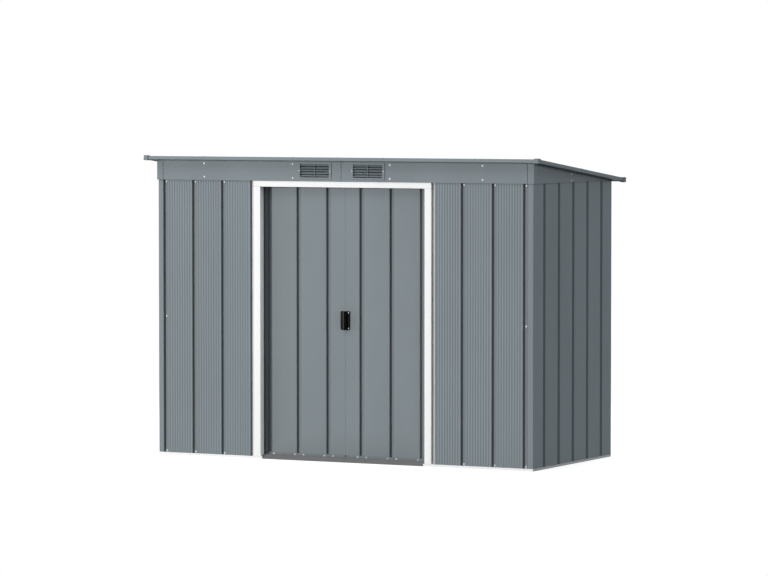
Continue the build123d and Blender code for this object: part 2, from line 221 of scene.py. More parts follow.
floor_mesh = bpy.data.meshes.new("floor")
corners = floor_half * np.array([(-1, -1, 0), (1, -1, 0), (1, 1, 0), (-1, 1, 0)])
floor_mesh.from_pydata(corners, [], [(0, 1, 2, 3)])
floor = bpy.data.objects.new("floor", floor_mesh)
floor_paint = bpy.data.materials.new("floor_white")
floor_paint.use_nodes = True
tree = floor_paint.node_tree
tree.nodes.clear()
matt = add(tree, "BsdfDiffuse", {"Color": grey(lit_share)})
unseen = add(tree, "BsdfDiffuse", {"Color": grey(unseen_share)})
glow = add(tree, "Emission", {"Color": grey(1), "Strength": glow_share})
lit = add(tree, "AddShader", {0: matt.outputs[0], 1: glow.outputs[0]})
plain = add(tree, "Emission", {"Color": grey(1), "Strength": 1.0})
place = add(tree, "TexCoord").outputs["Object"]
away = add(tree, "VectorMath", {0: place}, operation="LENGTH").outputs["Value"]
far = stretch(tree, away, shadow_reach, 2 * shadow_reach)
ground = add(tree, "MixShader", {0: far, 1: lit.outputs[0], 2: plain.outputs[0]})
shown = add(tree, "MixShader", {0: seen_directly(tree), 1: unseen.outputs[0], 2: ground.outputs[0]})
add(tree, "OutputMaterial", {"Surface": shown.outputs[0]})
floor_mesh.materials.append(floor_paint)
bpy.context.scene.collection.objects.link(floor)
print("floor", 2 * floor_half, "m square")

# %% [markdown]
# ## Shared effects
# Paint on rolled steel is never one flat colour. It has a fine orange-peel skin, its tone drifts a
# little over a sheet, dust settles on ledges and near the ground, and bends catch the light and are
# painted paler, partly as rub and partly as a painted highlight. Each of these is a node group, built
# once, so that every finish can use it with its own values.

# %% Paint skin
def object_place(tree, scale=(1, 1, 1)):
    """Object coordinates, scaled per axis; they are metres, because no piece is moved or turned."""
    place = add(tree, "TexCoord").outputs["Object"]
    return add(tree, "Mapping", {"Vector": place, "Scale": scale}).outputs[0]


def noise(tree, place, scale, detail=2.0, roughness=0.5):
    """Cloudy noise around 0.5, with the given number of blotches to a metre."""
    values = {"Vector": place, "Scale": scale, "Detail": detail, "Roughness": roughness}
    return add(tree, "TexNoise", values).outputs[0]


drift_shape = (1, 1, 0.35)
speck_scale = 240.0
speck_share = 0.3
paint_skin, inside, outside = start_group(
    "paint_skin", {"Fineness": 900.0, "Drift": 3.0}, {"Tone": "Float", "Height": "Float"})
place = object_place(paint_skin)
peel = noise(paint_skin, place, inside.outputs["Fineness"])
drift = noise(paint_skin, object_place(paint_skin, drift_shape), inside.outputs["Drift"], 3.0)
speck = noise(paint_skin, place, speck_scale, 1.0)
tone = scaled(paint_skin, speck, speck_share, -speck_share / 2)
paint_skin.links.new(maths(paint_skin, "ADD", drift, tone), outside.inputs["Tone"])
paint_skin.links.new(peel, outside.inputs["Height"])
print("group", paint_skin.name)

# %% [markdown]
# Dust lies where it can rest: on faces that look up, and in a band above the ground where rain
# splashes. The height comes from the Object coordinates and the slope from the surface normal.
# A cloudy noise breaks both up.

# %% Settled dust
patch_scale = 26.0
settled_dust, inside, outside = start_group(
    "settled_dust", {"Splash Height": 0.16, "Ledge": 0.5, "Splash": 0.5}, {"Mask": "Float"})
place = add(settled_dust, "TexCoord").outputs["Object"]
height = add(settled_dust, "SeparateXYZ", {0: place}).outputs["Z"]
band = {"Value": height, "From Min": 0.0, "From Max": inside.outputs["Splash Height"],
        "To Min": 1.0, "To Max": 0.0}
fade = maths(settled_dust, "POWER", add(settled_dust, "MapRange", band).outputs[0], 2.0)
splash = maths(settled_dust, "MULTIPLY", fade, inside.outputs["Splash"])
slope = add(settled_dust, "SeparateXYZ", {0: add(settled_dust, "NewGeometry").outputs["Normal"]})
ledge = stretch(settled_dust, slope.outputs["Z"], 0.3, 0.95)
ledge = maths(settled_dust, "MULTIPLY", ledge, inside.outputs["Ledge"])
patch = stretch(settled_dust, noise(settled_dust, place, patch_scale, 5.0, 0.65), 0.3, 0.75)
mask = maths(settled_dust, "MULTIPLY", maths(settled_dust, "MAXIMUM", splash, ledge), patch)
settled_dust.links.new(mask, outside.inputs["Mask"])
print("group", settled_dust.name)

# %% [markdown]
# No bend in sheet steel is a razor edge. Every CAD edge could get a real bevel, but a Bevel node
# does the same for the light: it gives a normal that turns smoothly within a small radius of each
# edge. Where that normal leaves the face's own normal there is an edge, which gives a mask for the
# bends that the finishes paint paler: partly rub, partly a painted highlight.

# %% Soft edges
rub_and_highlight_scale = 120.0
soft_edges, inside, outside = start_group(
    "soft_edges", {"Radius": 1.5 * mm}, {"Normal": "Vector", "Rub And Highlight": "Float"})
rounded = add(soft_edges, "Bevel", {"Radius": inside.outputs["Radius"]}, samples=4).outputs[0]
flat = add(soft_edges, "NewGeometry").outputs["True Normal"]
likeness = add(soft_edges, "VectorMath", {0: rounded, 1: flat}, operation="DOT_PRODUCT").outputs["Value"]
turned = stretch(soft_edges, maths(soft_edges, "SUBTRACT", 1.0, likeness), 0.02, 0.35)
broken = stretch(soft_edges, noise(soft_edges, object_place(soft_edges), rub_and_highlight_scale, 4.0, 0.6), 0.35, 0.7)
soft_edges.links.new(rounded, outside.inputs["Normal"])
soft_edges.links.new(maths(soft_edges, "MULTIPLY", turned, broken), outside.inputs["Rub And Highlight"])
print("group", soft_edges.name)

# %% [markdown]
# Galvanised steel shows spangle: flat zinc crystals a few millimetres across, each a slightly
# different grey. A Voronoi texture cuts the surface into such cells, and the random colour of each
# cell gives its tone.

# %% Zinc spangle
warp_scale = 60.0
warp_reach = 6 * mm
zinc_spangle, inside, outside = start_group(
    "zinc_spangle", {"Crystals": 130.0}, {"Tone": "Float", "Height": "Float"})
place = object_place(zinc_spangle)
warp_values = {"Vector": place, "Scale": warp_scale, "Detail": 2.0}
warp = add(zinc_spangle, "TexNoise", warp_values).outputs["Color"]
moved = add(zinc_spangle, "VectorMath", {0: warp, 1: [warp_reach] * 3}, operation="MULTIPLY").outputs[0]
place = add(zinc_spangle, "VectorMath", {0: place, 1: moved}, operation="ADD").outputs[0]
cells = add(zinc_spangle, "TexVoronoi", {"Vector": place, "Scale": inside.outputs["Crystals"]})
shade = add(zinc_spangle, "SeparateColor", {0: cells.outputs["Color"]}).outputs[0]
zinc_spangle.links.new(shade, outside.inputs["Tone"])
zinc_spangle.links.new(cells.outputs["Distance"], outside.inputs["Height"])
print("group", zinc_spangle.name)

# %% [markdown]
# ## Materials
# Each finish starts from a new material with its Principled shader, places the shared groups with
# its own values, and ends by linking a colour, a roughness and a bumped normal to the shader.

# %% Material helpers
dust_colour = (0.160, 0.155, 0.145, 1)
# Dirt for the joint under the header, and painted shade in the grooves, on the gables and round the pulls.
shade_and_grime_colour = (0.125, 0.125, 0.120, 1)


def start_material(name):
    """A new material, its node tree and its Principled shader."""
    material = bpy.data.materials.new(name)
    material.use_nodes = True
    return material, material.node_tree, material.node_tree.nodes["Principled BSDF"]


def tinted(colour, share):
    """A colour times a share, kept below pure white."""
    return (*(min(1.0, channel * share) for channel in colour), 1)


def effect(tree, group, **values):
    """The outputs of a shared group with its own values; _ stands for the space in an input's name."""
    inputs = {name.replace("_", " "): value for name, value in values.items()}
    return add(tree, "Group", inputs, node_tree=group).outputs


def connect(tree, shader, base, gloss, bump):
    """Links colour and roughness, and a Bump node with the given inputs, to the shader."""
    tree.links.new(base, shader.inputs["Base Color"])
    tree.links.new(gloss, shader.inputs["Roughness"])
    tree.links.new(add(tree, "Bump", bump).outputs[0], shader.inputs["Normal"])


print("dust", dust_colour[:3], "painted_shade", shade_and_grime_colour[:3])

# %% [markdown]
# ## Painted steel
# The sheets come off a coil that is painted before it is rolled, in a satin blue-grey, and the
# door posts and the front rail are white. Both are the same recipe with another colour: skin and
# drift change the tone by a few percent, bends are painted slightly paler, partly as rub and partly
# as a painted highlight, the grooves are darkened as painted shade, and dust dulls the gloss.

# %% Painted steel
# Bends painted paler: partly rub, partly a painted highlight. The groove attribute lays painted shade.
rub_and_highlight_share, rub_and_highlight_paler = 0.25, 1.45
groove_shade_share = 0.36
dust_dulls = 0.4


def painted_steel(name, colour, roughness, splash=0.16, drift=0.04, colour_marks=(), bend=1.4 * mm):
    """Coil paint of one colour, whose tone drifts by the given share: bends of the given radius painted
    paler, partly as rub and partly as a painted highlight, painted shade along the groove attribute,
    dust on ledges and splashed near the ground. Each mark is a pair: a function that makes a mask from
    the place (x, y, z), and the colour to lay there; some marks are stains and some painted shade."""
    material, tree, shader = start_material(name)
    shader.inputs["Specular IOR Level"].default_value = 0.1
    skin = effect(tree, paint_skin, Fineness=900.0, Drift=3.0)
    dust = effect(tree, settled_dust, Splash_Height=0.14, Ledge=0.10, Splash=splash)
    edge = effect(tree, soft_edges, Radius=bend)
    tone = stretch(tree, skin["Tone"], 0.2, 0.8)
    base = between(tree, tone, tinted(colour, 1 - drift), tinted(colour, 1 + drift))
    # Paler bends: partly rub, partly a painted highlight.
    base = between(tree, maths(tree, "MULTIPLY", edge["Rub And Highlight"], rub_and_highlight_share), base, tinted(colour, rub_and_highlight_paler))
    # Painted shade along the groove attribute: grooves, the gable's lip, the doors' feet and beside the
    # posts.
    groove = add(tree, "Attribute", attribute_name="groove").outputs["Fac"]
    base = between(tree, maths(tree, "MULTIPLY", groove, groove_shade_share), base, shade_and_grime_colour)
    place = add(tree, "SeparateXYZ", {0: object_place(tree)}).outputs
    for mask, mark_colour in colour_marks:
        base = between(tree, mask(tree, *place), base, mark_colour)
    base = between(tree, dust["Mask"], base, dust_colour)
    gloss = scaled(tree, dust["Mask"], dust_dulls, roughness)
    connect(tree, shader, base, gloss, {"Strength": 0.25, "Distance": 0.12 * mm, "Height": skin["Height"],
                                        "Normal": edge["Normal"]})
    return material


shed_grey = (0.197, 0.229, 0.247)
# A darker grey for the door rails: painted shade at the foot of the doors.
foot_shade_grey = tinted(shed_grey, 0.75)[:3]
clean_white = (0.865, 0.865, 0.86)
grey_paint = painted_steel("grey_paint", shed_grey, 0.50)
foot_shade_paint = painted_steel("foot_shade_paint", foot_shade_grey, 0.55)
white_paint = painted_steel("white_paint", clean_white, 0.40, 0.03, 0.015)
print("paints", grey_paint.name, foot_shade_paint.name, white_paint.name)

# %% [markdown]
# The door posts are stained in known places. Their flanges, which lie down in the grooves of the
# sheets, show the grey back coat of the coil, and dirt marks the joint under the header.

# %% Stained posts
front_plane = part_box("front_panel_right")[0].y
flange_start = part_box("front_panel_right")[0].x + 4 * mm
header_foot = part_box("door_header")[0].z
back_coat = (0.60, 0.60, 0.595, 1)
joint_dirt = 0.4


def on_flanges(tree, x, y, z):
    """1 behind the plane of the front, further from the middle than the start of the flanges."""
    behind = stretch(tree, y, front_plane, front_plane + 2 * mm)
    further = maths(tree, "GREATER_THAN", maths(tree, "ABSOLUTE", x), flange_start)
    return maths(tree, "MULTIPLY", behind, further)


def under_header(tree, x, y, z):
    """A faint thin line at the height of the header's lower edge."""
    away = maths(tree, "ABSOLUTE", maths(tree, "SUBTRACT", z, header_foot))
    return stretch(tree, away, 2.5 * mm, 1.0 * mm, 0.0, joint_dirt)


post_stains = [(on_flanges, back_coat), (under_header, shade_and_grime_colour)]
post_paint = painted_steel("post_paint", clean_white, 0.40, 0.03, 0.015, post_stains)
print("paint", post_paint.name, "with", len(post_stains), "colour_marks")

# %% [markdown]
# On the gables painted shade lies under the edge of the roof and fades out downwards, and on the
# doors a faint oval of painted shadow lies round the pulls, centred a little to the right of them.

# %% Painted shade on gables and doors
roof_middle = 1.6815
roof_fall = 115 / 1070
gable_shade_reach, gable_shade = 110 * mm, 0.52
pull_low, pull_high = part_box("right_door_handle")
pull_middle = (pull_low.z + pull_high.z) / 2
pull_shadow_middle = (15 * mm, pull_middle)
pull_shadow_half = (95 * mm, 105 * mm)
pull_shadow_strength = 0.42


def shade_under_roof(tree, x, y, z):
    """Painted shade: strongest at the roof's edge, whose height falls to the back, and gone at its reach.
    """
    edge = maths(tree, "SUBTRACT", roof_middle, maths(tree, "MULTIPLY", y, roof_fall))
    return stretch(tree, maths(tree, "SUBTRACT", edge, z), gable_shade_reach, 0.0, 0.0, gable_shade)


def shadow_round_pulls(tree, x, y, z):
    """A painted shadow round the pulls: an oval of half sizes a and b that fades with
    sqrt((x / a)^2 + (z / b)^2), where x and z start from its middle. It is strongest below 0.1 and gone at
    1.1."""
    squares = []
    for value, middle, half in zip((x, z), pull_shadow_middle, pull_shadow_half):
        away = maths(tree, "DIVIDE", maths(tree, "SUBTRACT", value, middle), half)
        squares.append(maths(tree, "MULTIPLY", away, away))
    return stretch(tree, maths(tree, "SQRT", maths(tree, "ADD", *squares)), 1.1, 0.1, 0.0, pull_shadow_strength)


# Gable paint with painted shade under the roof edge, and leaf paint with a painted shadow round the pulls.
gable_paint = painted_steel("gable_paint", shed_grey, 0.50, colour_marks=[(shade_under_roof, shade_and_grime_colour)])
leaf_paint = painted_steel("leaf_paint", shed_grey, 0.50, colour_marks=[(shadow_round_pulls, shade_and_grime_colour)])
print("paints", gable_paint.name, leaf_paint.name)

# %% [markdown]
# ## Bare zinc
# Rails, tracks and the purlin are left galvanised. Zinc is a metal, but its weathered skin scatters
# light like a pale grey stone, so it is only partly metallic here. The base rails have dulled on the
# ground, and the ramp in the doorway is darker and rougher still after many feet.

# %% Zinc
crystal_share, drift_share = 0.6, 0.4


def galvanised(name, dark, pale, metallic, roughness):
    """Zinc whose crystals run from the dark to the pale colour, with a thin film of dust."""
    material, tree, shader = start_material(name)
    shader.inputs["Metallic"].default_value = metallic
    shader.inputs["Specular IOR Level"].default_value = 0.4
    crystals = effect(tree, zinc_spangle, Crystals=130.0)
    skin = effect(tree, paint_skin, Fineness=500.0, Drift=5.0)
    dust = effect(tree, settled_dust, Splash_Height=0.10, Ledge=0.2, Splash=0.2)
    edge = effect(tree, soft_edges, Radius=1.2 * mm)
    drift = maths(tree, "MULTIPLY", skin["Tone"], drift_share)
    tone = scaled(tree, crystals["Tone"], crystal_share, drift)
    base = between(tree, tone, (*dark, 1), (*pale, 1))
    # Paler bends: partly rub, partly a painted highlight.
    base = between(tree, maths(tree, "MULTIPLY", edge["Rub And Highlight"], 0.3), base, tinted(pale, 1.25))
    base = between(tree, dust["Mask"], base, dust_colour)
    gloss = stretch(tree, tone, 0.2, 0.9, roughness - 0.06, roughness + 0.08)
    connect(tree, shader, base, gloss, {"Strength": 0.15, "Distance": 0.1 * mm,
                                        "Height": crystals["Height"], "Normal": edge["Normal"]})
    return material


rail_zinc = galvanised("rail_zinc", (0.36, 0.37, 0.38), (0.50, 0.51, 0.52), 0.35, 0.42)
base_zinc = galvanised("base_zinc", (0.33, 0.332, 0.335), (0.42, 0.422, 0.425), 0.2, 0.55)
ramp_zinc = galvanised("ramp_zinc", (0.115, 0.117, 0.12), (0.16, 0.162, 0.166), 0.2, 0.55)
print("zinc", rail_zinc.name, base_zinc.name, ramp_zinc.name)

# %% [markdown]
# ## Moulded plastic
# The pulls, the roof's corner caps and the door hangers are moulded. A spark-eroded mould leaves a
# fine even grain, which shows as a soft sheen instead of a mirror, and the raised edges polish in
# use and are painted paler, partly as rub and partly as a painted highlight. The same recipe makes
# all three with another colour. A painted highlight also runs along the left pull's crest.

# %% Plastics
def moulded(name, colour, roughness, grain, sheen, highlight_stripe=None):
    """Moulded plastic: even grain on the surface, edges polished a little smoother and painted paler,
    partly as rub and partly as a painted highlight. A highlight stripe (x, half width, colour) is an
    upright stripe painted paler as a highlight."""
    material, tree, shader = start_material(name)
    shader.inputs["Specular IOR Level"].default_value = sheen
    skin = effect(tree, paint_skin, Fineness=1600.0, Drift=12.0)
    dust = effect(tree, settled_dust, Splash_Height=0.05, Ledge=0.12, Splash=0.1)
    edge = effect(tree, soft_edges, Radius=1.2 * mm)
    base = between(tree, skin["Tone"], tinted(colour, 0.92), tinted(colour, 1.08))
    # Paler edges: partly polish, partly a painted highlight.
    base = between(tree, maths(tree, "MULTIPLY", edge["Rub And Highlight"], 0.4), base, tinted(colour, 1.5))
    # A painted highlight along an upright stripe.
    if highlight_stripe:
        middle, half, highlight_colour = highlight_stripe
        x = add(tree, "SeparateXYZ", {0: object_place(tree)}).outputs["X"]
        away = maths(tree, "ABSOLUTE", maths(tree, "SUBTRACT", x, middle))
        base = between(tree, stretch(tree, away, half + 1 * mm, half - 1 * mm), base, highlight_colour)
    base = between(tree, dust["Mask"], base, dust_colour)
    gloss = scaled(tree, edge["Rub And Highlight"], -0.12, roughness)
    connect(tree, shader, base, gloss, {"Strength": grain, "Distance": 0.1 * mm, "Height": skin["Height"],
                                        "Normal": edge["Normal"]})
    return material


# A painted highlight along the left pull's crest.
pull_highlight = (-2.6 * mm, 2.2 * mm, grey(0.15))
pull_plastic = moulded("pull_plastic", (0.003, 0.003, 0.0035), 0.36, 0.5, 0.03, pull_highlight)
cap_plastic = moulded("cap_plastic", (0.185, 0.215, 0.232), 0.50, 0.35, 0.1)
hanger_nylon = moulded("hanger_nylon", (0.74, 0.74, 0.71), 0.38, 0.2, 0.4)
print("plastics", pull_plastic.name, cap_plastic.name, hanger_nylon.name)

# %% [markdown]
# ## Finishes for the CAD pieces
# Each CAD node already names a material slot in its record, so one table from slot to finish covers
# nearly all of them. A few nodes then get a finish of their own: the stained posts, the gables with
# painted shade, the base rails, and the door rails, which are darker than the leaves as painted shade
# at the foot of the doors.

# %% Dress the CAD nodes
finishes = {
    "panel_paint": grey_paint,
    "trim_white": white_paint,
    "zinc": rail_zinc,
    "worn_zinc": ramp_zinc,
    "black_plastic": pull_plastic,
    "grey_plastic": cap_plastic,
    "glide_plastic": hanger_nylon,
}
for subpart in frame["record"]["subparts"]:
    piece = frame["nodes"][subpart["node"]]
    piece.data.materials.clear()
    piece.data.materials.append(finishes[subpart["material_slot"]])
own_finishes = {"door_jambs": post_paint, "base_rail_back": base_zinc}
for side in ("left", "right"):
    own_finishes[f"gable_{side}"] = gable_paint
    own_finishes[f"base_rail_{side}"] = base_zinc
    own_finishes[f"{side}_door_rails"] = foot_shade_paint
for node, finish in own_finishes.items():
    frame["nodes"][node].data.materials[0] = finish

# %% [markdown]
# ## Rolled sheets
# A wall sheet is a flat strip drawn through rollers, which press in a groove every 195 mm. The CAD
# sheets have sharp folds. Here each sheet is rolled again as a function of two parameters: the
# distance s along the strip gives the depth of the groove, and the height z carries that line up
# the wall. The bends come out round.

# %% Grooves along a strip
groove_pitch = 195.2 * mm
groove_depth = 12.0 * mm
half_floor = 11.7 * mm
groove_run = 5.2 * mm
half_mouth = half_floor + groove_run
sheet_thickness = 0.6 * mm
lap = 0.7 * mm
lap_reach = 0.8 * half_floor
bend_softness = 0.13
bend_spread = np.array([-2.4, -1.4, -0.6, 0.0, 0.6, 1.4, 2.4]) * mm


def groove_shape(s, centres, run=groove_run, mouth=half_mouth):
    """1 on a groove's floor, 0 between grooves, and a straight wall between, with soft corners:
    (1 + sqrt(t^2 + e^2) - sqrt((1 - t)^2 + e^2)) / 2, where t climbs from 0 to 1 along the wall."""
    away = np.abs(s[:, None] - np.asarray(centres)[None, :]).min(axis=1)
    t = (mouth - away) / run
    return (1 + np.sqrt(t ** 2 + bend_softness ** 2) - np.sqrt((1 - t) ** 2 + bend_softness ** 2)) / 2


def strip_places(start, end, centres, floor=half_floor, mouth=half_mouth, flats=10, extra=()):
    """Distances along a strip, close together at the bends and evenly spread on the flats."""
    bends = np.concatenate([floor + bend_spread, mouth + bend_spread])
    near = np.asarray(centres)[:, None] + np.concatenate([-bends, bends])[None, :]
    even = np.linspace(start, end, max(2, int(flats * (end - start) / groove_pitch)))
    places = np.concatenate([near.ravel(), even, np.asarray(extra), [start, end]])
    return np.unique(np.round(places[(places >= start) & (places <= end)], 6))


print("groove mouth", round(2 * half_mouth / mm, 1), "mm wide")

# %% [markdown]
# The line of the strip is then laid on its path. A front sheet lies on a straight path, but a side
# sheet turns the corner of the shed, and a door sheet turns back at both edges. The path turns each
# corner on a short curve.

# %% Lay a strip on a path
def along_path(s, corners, radius):
    """Points and inward normals at distances s along a path of straight runs. Near a corner c the
    point is c - (1 - a)^2 r d0 + a^2 r d1, where a goes from 0 to 1 and d0, d1 are the two runs."""
    corners = np.asarray(corners, float)
    runs = np.diff(corners, axis=0)
    lengths = np.linalg.norm(runs, axis=1)
    runs = runs / lengths[:, None]
    reached = np.concatenate([[0], np.cumsum(lengths)])
    which = np.clip(np.searchsorted(reached, s, side="right") - 1, 0, len(runs) - 1)
    points = corners[which] + (s - reached[which])[:, None] * runs[which]
    headings = runs[which].copy()
    for number in range(1, len(runs)):
        a = (s - reached[number] + radius) / (2 * radius)
        turn = ((a > 0) & (a < 1))[:, None]
        a = a[:, None]
        curve = corners[number] + radius * (a ** 2 * runs[number] - (1 - a) ** 2 * runs[number - 1])
        points = np.where(turn, curve, points)
        headings = np.where(turn, (1 - a) * runs[number - 1] + a * runs[number], headings)
    headings /= np.linalg.norm(headings, axis=1)[:, None]
    return points, np.stack([-headings[:, 1], headings[:, 0]], axis=1)


corner_point = along_path(np.array([1.0]), [(0, 0), (1, 0), (1, 1)], 0.1)[0]
print("a corner at (1, 0) with radius 0.1 passes", corner_point.round(3).tolist())

# %% [markdown]
# A line carried up the wall would be a skin without thickness. The sheet gets a real inner face too:
# the line and its copy one thickness inwards make a closed loop, and the loops at all levels make
# the grid. The groove mask goes into the mesh as an attribute, where the paint reads it and lays
# painted shade.

# %% Thin sheets
upright_axes = ((1, 0, 0), (0, 1, 0), (0, 0, 1), (0, 0, 0))
sharp_fold = math.radians(40.0)


def put_mesh(name, vertices, faces, material):
    """A mesh object at the origin from whole arrays of vertices and faces, smooth but for sharp folds."""
    mesh = bpy.data.meshes.new(name)
    mesh.from_pydata(vertices, [], faces)
    mesh.polygons.foreach_set("use_smooth", np.ones(len(mesh.polygons), bool))
    mesh.set_sharp_from_angle(angle=sharp_fold)
    mesh.materials.append(material)
    mesh.validate()
    made = bpy.data.objects.new(name, mesh)
    bpy.context.scene.collection.objects.link(made)
    return made


def loop_walls(count, rows):
    """Quads between rows of closed loops: points (i, j), (i + 1, j), (i + 1, j + 1) and (i, j + 1), where
    the first point of a loop follows its last."""
    i, j = np.meshgrid(np.arange(count), np.arange(rows - 1))
    after = (i + 1) % count
    this, other = j * count, (j + 1) * count
    return np.stack([this + i, this + after, other + after, other + i], axis=-1).reshape(-1, 4)


def sheet_grid(name, line, levels, swell, axes, groove=None, paint=grey_paint):
    """A closed thin sheet. Vertex (i, j) is line_i + swell_ij * normal_i at level_j, on the given axes,
    and again one thickness further in. The groove mask, 1 on groove floors and the strength of the
    painted shade that the paint lays, may have a row per level."""
    tangent = np.gradient(line, axis=0)
    tangent /= np.linalg.norm(tangent, axis=1)[:, None]
    normal = np.stack([-tangent[:, 1], tangent[:, 0]], axis=1)
    outer = line[None] - swell.T[:, :, None] * normal[None]
    inner = outer + sheet_thickness * normal[None]
    loop = np.concatenate([outer, inner[:, ::-1]], axis=1)
    rows, count = loop.shape[:2]
    rise = np.broadcast_to(levels[:, None, None], (rows, count, 1))
    grid = np.concatenate([loop, rise], axis=2).reshape(-1, 3)
    vertices = grid @ np.asarray(axes[:3]) + np.asarray(axes[3])
    first = np.arange(count // 2 - 1)
    foot = np.stack([first, count - 1 - first, count - 2 - first, first + 1], axis=-1)
    head = foot[:, ::-1] + (rows - 1) * count
    made = put_mesh(name, vertices, np.concatenate([loop_walls(count, rows), foot, head]), paint)
    if groove is not None:
        mask = made.data.attributes.new("groove", "FLOAT", "POINT")
        spread = np.broadcast_to(groove, (rows, len(line)))
        mask.data.foreach_set("value", np.concatenate([spread, spread[:, ::-1]], axis=1).ravel())
    return made


print("sheets", round(sheet_thickness / mm, 1), "mm thick")

# %% [markdown]
# Wide flats of thin steel are never quite flat. They swell in and out by a fraction of a millimetre,
# which shows as slow changes of tone. A finished sheet then takes the place of its CAD node, and the
# left-hand sheets are the right-hand ones mirrored.

# %% Swelling and taking over
swell_height = 0.35 * mm
slow_wave, quick_wave, quick_share = 13.4, 20.3, 0.6
pan_phase, quick_phase = 2.4, 1.7
sides = (("right", 1), ("left", -1))


def ease(t):
    """3 t^2 - 2 t^3: from 0 to 1 with level ends."""
    return t ** 2 * (3 - 2 * t)


def swelling(s, levels, centres, seed):
    """Slow in-and-out waves of a wide flat: two sines up the sheet, largest halfway between grooves."""
    away = np.abs(s[:, None] - np.asarray(centres)[None, :])
    middle = np.clip((away.min(axis=1) - half_mouth) / (groove_pitch / 2 - half_mouth), 0, 1)
    phase = (away.argmin(axis=1) + seed)[:, None] * pan_phase
    wave = np.sin(slow_wave * levels[None] + phase)
    wave = wave + quick_share * np.sin(quick_wave * levels[None] + quick_phase * phase)
    ends = np.sin(np.pi * (levels - levels[0]) / (levels[-1] - levels[0]))
    return swell_height * ease(middle)[:, None] * wave * ends[None]


def mirrored(line, *others):
    """The left-hand line, turned round so that the inside stays on its left, and what goes with it."""
    return (line[::-1] * (-1, 1), *(other[::-1] for other in others))


def take_over(piece, node, body):
    """The new sheet stands for its CAD node and moves with the same body."""
    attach(piece, body)
    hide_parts(node)


print("flats swell by", round(swell_height / mm, 2), "mm")

# %% [markdown]
# ## Front sheets
# Beside the doorway the flats between the grooves carry nine fine ribs, which stiffen the front and
# show as thin lines from afar. A texture could draw them, but they are real waves in the steel, so
# they are a cosine added to the depth. Both ends of a sheet lie in the floor of a groove.

# %% Front sheets
rib_pitch = 16.73 * mm
rib_depth = 2.0 * mm
front_rows = 4


def fine_ribs(s, centres):
    """Depth of the ribs: d (1 - cos(2 pi x / pitch)) / 2 for the whole ribs that fit on each flat."""
    flat = groove_pitch - 2 * half_mouth
    count = int(flat / rib_pitch)
    x = (s - centres[0] - half_mouth) % groove_pitch - (flat - count * rib_pitch) / 2
    inside = (x > 0) & (x < count * rib_pitch)
    return np.where(inside, rib_depth * (1 - np.cos(2 * np.pi * x / rib_pitch)) / 2, 0)


def grooves_in(start, end):
    """Groove centres of a sheet that ends in the floors of its first and last grooves."""
    first, last = start + lap_reach, end - lap_reach
    return first + groove_pitch * np.arange(round((last - first) / groove_pitch) + 1)


for side, sign in sides:
    low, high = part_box(f"front_panel_{side}")
    start, end = sorted((sign * low.x, sign * high.x))
    centres = grooves_in(start, end)
    s = strip_places(start, end, centres, extra=np.arange(start, end, rib_pitch / 8))
    groove = groove_shape(s, centres)
    line = np.stack([s, low.y + groove_depth * groove + fine_ribs(s, centres)], axis=1)
    if sign < 0:
        line, groove = mirrored(line, groove)
    levels = np.linspace(low.z, high.z, front_rows)
    still = np.zeros((len(s), front_rows))
    piece = sheet_grid(f"front_sheet_{side}", line, levels, still, upright_axes, groove)
    take_over(piece, f"front_panel_{side}", "shed")
    print(piece.name, len(centres), "grooves", len(piece.data.polygons), "faces")

# %% [markdown]
# ## Side sheets
# Two sheets make each end wall. Each starts at the lap in the middle groove and turns the corner, so
# that its short leg ends under the front or back sheet. The under sheet of a lap lies one sheet
# deeper in that groove. A thin line of painted shadow also lies under the lip of the gable.

# %% Side sheets
corner_radius = 1.6 * mm
# The last rows under the gable's lip carry a thin painted shadow line.
lip_line = 6 * mm
lip_shadow = 1.6
rail_seat = 0.1 * mm
rail_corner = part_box("base_rail_back")[1]
half_width = rail_corner.x + rail_seat
half_depth = rail_corner.y
corner_groove = half_width - (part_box("front_panel_right")[1].x - lap_reach)
side_grooves = half_depth - groove_pitch * np.arange(2, -1, -1)
turn_places = np.linspace(-1, 1, 7)


def side_line(grooves, reach, lapped):
    """Right-hand side sheet seen from its corner: the leg with its deep groove, the corner, and the
    side with its grooves. Distances run from the leg's end."""
    leg = corner_groove + lap_reach
    centres = np.concatenate([[leg - corner_groove], leg + grooves])
    deep = np.concatenate([[lap], np.zeros(len(grooves) - 1), [lap if lapped else 0.0]])
    s = strip_places(0, leg + reach, centres, extra=leg + corner_radius * turn_places)
    which = np.abs(s[:, None] - centres[None]).argmin(axis=1)
    groove = groove_shape(s, centres)
    points, normals = along_path(s, [(-leg, 0), (0, 0), (0, reach)], corner_radius)
    return s, points + ((groove_depth + deep[which]) * groove)[:, None] * normals, centres, groove


for end, lapped, seed in (("front", False, 3), ("back", True, 8)):
    low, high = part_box(f"right_wall_{end}")
    s, shape, centres, groove = side_line(side_grooves, half_depth + lap_reach, lapped)
    line = shape + (half_width, -half_depth)
    levels = np.append(np.linspace(low.z, high.z - lip_line, 27), [high.z - 0.9 * lip_line, high.z])
    swell = swelling(s, levels, centres, seed)
    if end == "back":
        line, swell, groove = line[::-1] * (1, -1), swell[::-1], groove[::-1]
    for side, sign in sides:
        strip, waves, mask = (line, swell, groove) if sign > 0 else mirrored(line, swell, groove)
        # Painted shade: the grooves, and a thin painted shadow line under the gable's lip.
        painted_shade = np.tile(mask, (len(levels), 1))
        painted_shade[-2:] = lip_shadow
        piece = sheet_grid(f"{side}_sheet_{end}", strip, levels, waves, upright_axes, painted_shade)
        take_over(piece, f"{side}_wall_{end}", "shed")
        print(piece.name, len(piece.data.polygons), "faces")

# %% [markdown]
# ## Back sheets
# Four plain sheets close the back. Each laps over the start of the next one, so from the second on
# they start one sheet deeper. They run from right to left, so that the inside stays on the left
# of the line, as on the other walls.

